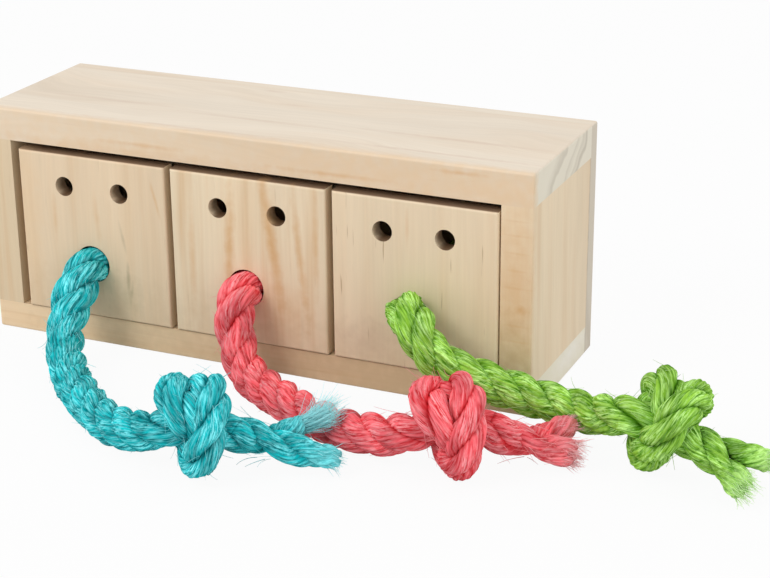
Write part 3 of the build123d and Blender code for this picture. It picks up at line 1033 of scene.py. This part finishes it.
def tail_piece(line, name, radius_at, material, seed):
    """The opened end of a rope: one strand parts from the other two. Also tells where each strand ends."""
    index, keep = line.part(line.at["tail"], line.total)
    along = line.s[index]
    axis = line.points[index]
    radius = radius_at(along)
    root = along[keep][0]
    share = np.clip((along - root) / (along[-1] - root), 0, 1)
    opened = smooth_step(share, *TAIL_OPENS)
    parts = MeshParts()
    ends = []
    for strand in range(STRANDS):
        draw = strand_draw(seed, strand)
        lone = strand == 0
        tip, *fibres = TAILS[name][0 if lone else 1]
        closing = 0 if lone else (math.pi / 6) * (3 - 2 * strand)
        outward = spokes(line, index, strand_angle(along, strand, draw) - closing * opened)
        held = 1 - (0.75 if lone else 0.42) * opened
        middle = axis + (np.array(tip) - axis[-1])[None, :] * (share ** 1.4)[:, None]
        centres = middle + STRAND_OFFSET * (radius * held)[:, None] * outward
        thick = radius * (1 + uneven(along, draw, STRAND_SWELL)) * (1 + (0.15 if lone else -0.05) * opened)
        thick *= 1 - 0.65 * smooth_step(share, *TAIL_ROUNDS) ** 3
        fray = 0.65 * smooth_step(share, *TAIL_FRAYS)
        # The painted shade between the strands fades where they part.
        laid = (middle, 1 - 0.8 * opened)
        strand_tube(parts, centres, outward, along, thick, draw, laid, keep, fray, opened)
        ends.append((centres, radius[-1], fibres))
    return parts.build(f"{name}_rope_opened_tail", material), ends


def frayed_ends(name, ends, material, seed):
    """The frayed fibres at the ends of a rope's strands."""
    draw = random.Random(seed + 20)
    parts = MeshParts()
    steps = np.linspace(0, 1, 6)[:, None]
    for centres, radius, (aim, length, stray_size, count) in ends:
        heading = unit(centres[-1] - centres[-8])
        side = unit(np.cross(heading, (0, 0, 1)))
        up = np.cross(side, heading)
        aim = unit(np.array(aim))
        for fibre in range(count):
            out = STRAND_HALF_OUT * radius * math.sqrt(draw.random())
            turn = draw.uniform(0, 2 * math.pi)
            off = out * (math.cos(turn) * side + math.sin(turn) * up)
            root = centres[-draw.randrange(4, 12)] + off * 0.95
            reach = length * draw.uniform(0.50, 1.15) + 0.003
            stray = np.array([draw.gauss(0, stray_size) for axis in range(3)]) + off / radius * 0.5
            points = root + heading * reach * (steps - 0.5 * steps ** 2)
            points += unit(aim + stray) * reach * 0.6 * steps ** 2
            curl = np.array([draw.gauss(0, 0.10) for axis in range(3)]) * reach
            points += curl * np.sin(steps * 3.0 + draw.uniform(0, 6)) * steps
            fray = draw.uniform(0.9, 1.3) * (0.35 + 0.90 * steps[:, 0])
            fibre_tube(parts, points, draw.uniform(*FRAY_THICKNESS), fray, draw.uniform(0, 9))
    return parts.build(f"{name}_rope_frayed_ends", material)


def loose_fibres(line, label, low, high, long_hairs, radius_at, material):
    """Short fuzz that lies along part of a rope, with a few longer hairs."""
    draw = random.Random(label)
    parts = MeshParts()
    steps = np.linspace(0, 1, 6)[:, None]
    for hair in range(int((high - low) * HAIRS_PER_METRE)):
        lengths, lifts, thicknesses = LONG_HAIR if hair < long_hairs else FUZZ
        i = int(np.argmin(np.abs(line.s - draw.uniform(low, high))))
        turn = draw.uniform(0, 2 * math.pi)
        outward = math.cos(turn) * line.normals[i] + math.sin(turn) * line.sides[i]
        root = line.points[i] + outward * radius_at(line.s[i:i + 1])[0] * draw.uniform(0.88, 0.98)
        reach = draw.uniform(*lengths)
        lift = draw.uniform(*lifts)
        aim = unit(outward * lift + line.tangents[i] * draw.choice((-1, 1))
                   + np.cross(line.tangents[i], outward) * draw.gauss(0, 0.35))
        bend = np.array([draw.gauss(0, 1) for axis in range(3)]) * reach * 0.18
        points = root + aim * reach * steps + bend * steps ** 2
        fibre_tube(parts, points, draw.uniform(*thicknesses), draw.uniform(0.25, 0.9), draw.uniform(0, 9))
    return parts.build(label, material)


def seen_as_white(tree):
    """A mask of the rays that see a white backdrop: from the camera, and sent on by gloss or glass."""
    rays = add_node(tree, "ShaderNodeLightPath").outputs
    either = maths(tree, "MAXIMUM", rays["Is Camera Ray"], rays["Is Glossy Ray"])
    return maths(tree, "MAXIMUM", either, rays["Is Transmission Ray"])


class TREAT_BOX_OT_stage(bpy.types.Operator):
    """Sets the camera, the soft light and the pale floor."""

    bl_idname = "treat_box.stage"
    bl_label = "Stage"

    def execute(self, context):
        stage = context.scene.treat_box_stage
        context.scene.view_settings.view_transform = "Standard"
        self.camera(context, stage)
        self.floor(context, stage)
        self.light(context, stage)
        return {"FINISHED"}

    def camera(self, context, stage):
        data = bpy.data.cameras.new("studio_camera")
        data.sensor_fit = "HORIZONTAL"
        data.sensor_width = SENSOR_WIDTH
        data.lens = stage.lens
        right = Vector((math.cos(CAMERA_AZIMUTH), math.sin(CAMERA_AZIMUTH), 0))
        back = Vector((math.sin(CAMERA_AZIMUTH) * math.cos(CAMERA_ELEVATION),
                       -math.cos(CAMERA_AZIMUTH) * math.cos(CAMERA_ELEVATION), math.sin(CAMERA_ELEVATION)))
        up = back.cross(right)
        rolled_right = right * math.cos(CAMERA_ROLL) + up * math.sin(CAMERA_ROLL)
        rolled_up = up * math.cos(CAMERA_ROLL) - right * math.sin(CAMERA_ROLL)
        camera = bpy.data.objects.new("studio_camera", data)
        turned = Matrix((rolled_right, rolled_up, back)).transposed().to_4x4()
        camera.matrix_world = Matrix.Translation(CAMERA_PLACE) @ turned
        context.scene.collection.objects.link(camera)
        context.scene.camera = camera

    def floor(self, context, stage):
        mesh = bpy.data.meshes.new("floor")
        signs = ((-1, -1), (1, -1), (1, 1), (-1, 1))
        corners = [(x * FLOOR_REACH, y * FLOOR_REACH, FLOOR_LEVEL) for x, y in signs]
        mesh.from_pydata(corners, [], [(0, 1, 2, 3)])
        floor = bpy.data.objects.new("floor", mesh)
        context.scene.collection.objects.link(floor)
        material = bpy.data.materials.new("pale floor")
        tree = bare_tree(material)
        seen = maths(tree, "MULTIPLY", seen_as_white(tree), FLOOR_WHITENESS)
        matt = add_node(tree, "ShaderNodeBsdfDiffuse", {"Color": (*stage.floor, 1)}).outputs[0]
        white = add_node(tree, "ShaderNodeEmission", {"Color": (1, 1, 1, 1), "Strength": 1.0}).outputs[0]
        both = add_node(tree, "ShaderNodeMixShader", {0: seen, 1: matt, 2: white})
        add_node(tree, "ShaderNodeOutputMaterial", {"Surface": both.outputs[0]})
        mesh.materials.append(material)

    def light(self, context, stage):
        world = bpy.data.worlds.new("studio sky")
        tree = bare_tree(world)
        both = add_node(tree, "ShaderNodeMixShader", {0: seen_as_white(tree)})
        for slot, strength in ((1, stage.sky), (2, 1.0)):
            sky = add_node(tree, "ShaderNodeBackground", {"Color": (1, 1, 1, 1), "Strength": strength})
            tree.links.new(sky.outputs[0], both.inputs[slot])
        add_node(tree, "ShaderNodeOutputWorld", {"Surface": both.outputs[0]})
        context.scene.world = world
        for label, (size, place) in LAMPS.items():
            data = bpy.data.lights.new(label, "AREA")
            data.shape = "DISK"
            data.size = size
            data.energy = getattr(stage, label)
            lamp = bpy.data.objects.new(label, data)
            lamp.location = place
            lamp.rotation_euler = (LAMP_TARGET - lamp.location).to_track_quat("-Z", "Y").to_euler()
            context.scene.collection.objects.link(lamp)


class TREAT_BOX_OT_ropes(bpy.types.Operator):
    """Lays the three ropes with their knots, tails and loose fibres."""

    bl_idname = "treat_box.ropes"
    bl_label = "Ropes"

    def execute(self, context):
        for seed, name in enumerate(DRAWERS):
            line = RopeLine(name)
            radius_at = rope_radius(line, ROPES[name]["bulge"])
            material = sisal_material(name, "sisal", 0.8, 0.28)
            # The hair copy is bleached more: partly the pale ends of real fibres, partly painted light
            # standing in for light that shines through the thin fibres.
            hair = sisal_material(name, "sisal hair", 0.0, 0.48)
            start, knot, tail = line.at["start"], line.at["knot"] - LEAD[name], line.at["tail"]
            label = f"{name}_rope"
            inner = laid_rope(line, 0, start, radius_at, material, f"{label}_inner_knot", seed,
                              STOP_KNOT_SIDES)
            carry(inner, name, "drawer", f"{label}_stop_knot")
            outer = laid_rope(line, knot, tail, radius_at, material, f"{label}_outer_knot", seed)
            carry(outer, name, "far", f"{label}_knot")
            end, strand_ends = tail_piece(line, name, radius_at, material, seed)
            carry(end, name, "far", f"{label}_tail")
            frays = carry(frayed_ends(name, strand_ends, hair, seed), name, "far")
            fuzz = loose_fibres(line, f"{label}_fuzz", start + FUZZ_START, knot, LONG_HAIRS["stretch"],
                                radius_at, hair)
            carry(fuzz, name, "near")
            hairs = loose_fibres(line, f"{label}_loose_fibres", knot, line.total, LONG_HAIRS["end"],
                                 radius_at, hair)
            carry(hairs, name, "far")
            stretch = laid_rope(line, start, knot, radius_at, material, f"{label}_stretch", seed)
            carry(stretch, name, "near", label)
            index, keep = line.part(start, knot)
        return {"FINISHED"}


class TREAT_BOX_OT_case(bpy.types.Operator):
    """Finishes the boards and dowels of the case."""

    bl_idname = "treat_box.case"
    bl_label = "Case"

    def execute(self, context):
        for node, cut in BOARDS.items():
            dress(node, pine_material(f"{node.replace('_', ' ')} pine", **cut))
        dowel = pine_material("dowel wood", "Z", (0.01, 0.01, 0), 0.3, 0.3, 0.003)
        for node in ("top_dowels", "bottom_dowels"):
            dress(node, dowel)
        return {"FINISHED"}


class TREAT_BOX_OT_drawers(bpy.types.Operator):
    """Finishes the drawer fronts and the trays behind them."""

    bl_idname = "treat_box.drawers"
    bl_label = "Drawers"

    def execute(self, context):
        for name in DRAWERS:
            cut = FRONTS[name]
            front = pine_material(f"{name} front pine", "Z", marks=front_marks(name), sawn=FRONT_SAWN_SHADE, **cut)
            dress(f"{name}_drawer_front", front)
            tray = pine_material(f"{name} tray pine", "Y", (0.05, cut["pith"][0], 0), 0.6, 0.3)
            for piece in ("left_side", "right_side", "bottom"):
                dress(f"{name}_drawer_{piece}", tray)
            dress(f"{name}_drawer_back",
                  pine_material(f"{name} tray back pine", "X", (0.05, 0.06, 0), 0.6, 0.3))
            dress(f"{name}_drawer_dowels",
                  pine_material(f"{name} dowel wood", "Y", (0.01, 0.01, 0), 0.3, 0.3, 0.003))
        return {"FINISHED"}


class TREAT_BOX_PT_panel(bpy.types.Panel):
    """Lists the steps that dress the treat box."""

    bl_idname = "TREAT_BOX_PT_panel"
    bl_label = "Treat Box"
    bl_space_type = "VIEW_3D"
    bl_region_type = "UI"
    bl_category = "Treat Box"

    def draw(self, context):
        for step in STEPS:
            self.layout.operator(step.bl_idname)


STEPS = [TREAT_BOX_OT_stage, TREAT_BOX_OT_ropes, TREAT_BOX_OT_case, TREAT_BOX_OT_drawers]
SETTINGS = {"treat_box_pine": TreatBoxPine, "treat_box_rope": TreatBoxRope, "treat_box_stage": TreatBoxStage}


def register():
    for settings in SETTINGS.values():
        bpy.utils.register_class(settings)
    for label, settings in SETTINGS.items():
        setattr(bpy.types.Scene, label, bpy.props.PointerProperty(type=settings))
    for step in STEPS:
        bpy.utils.register_class(step)
    bpy.utils.register_class(TREAT_BOX_PT_panel)


def unregister():
    bpy.utils.unregister_class(TREAT_BOX_PT_panel)
    for step in reversed(STEPS):
        bpy.utils.unregister_class(step)
    for label, settings in SETTINGS.items():
        delattr(bpy.types.Scene, label)
        bpy.utils.unregister_class(settings)


def main():
    """Dresses the box."""
    register()
    bpy.ops.treat_box.stage()
    bpy.ops.treat_box.ropes()
    bpy.ops.treat_box.case()
    bpy.ops.treat_box.drawers()


if __name__ == "__main__":
    main()
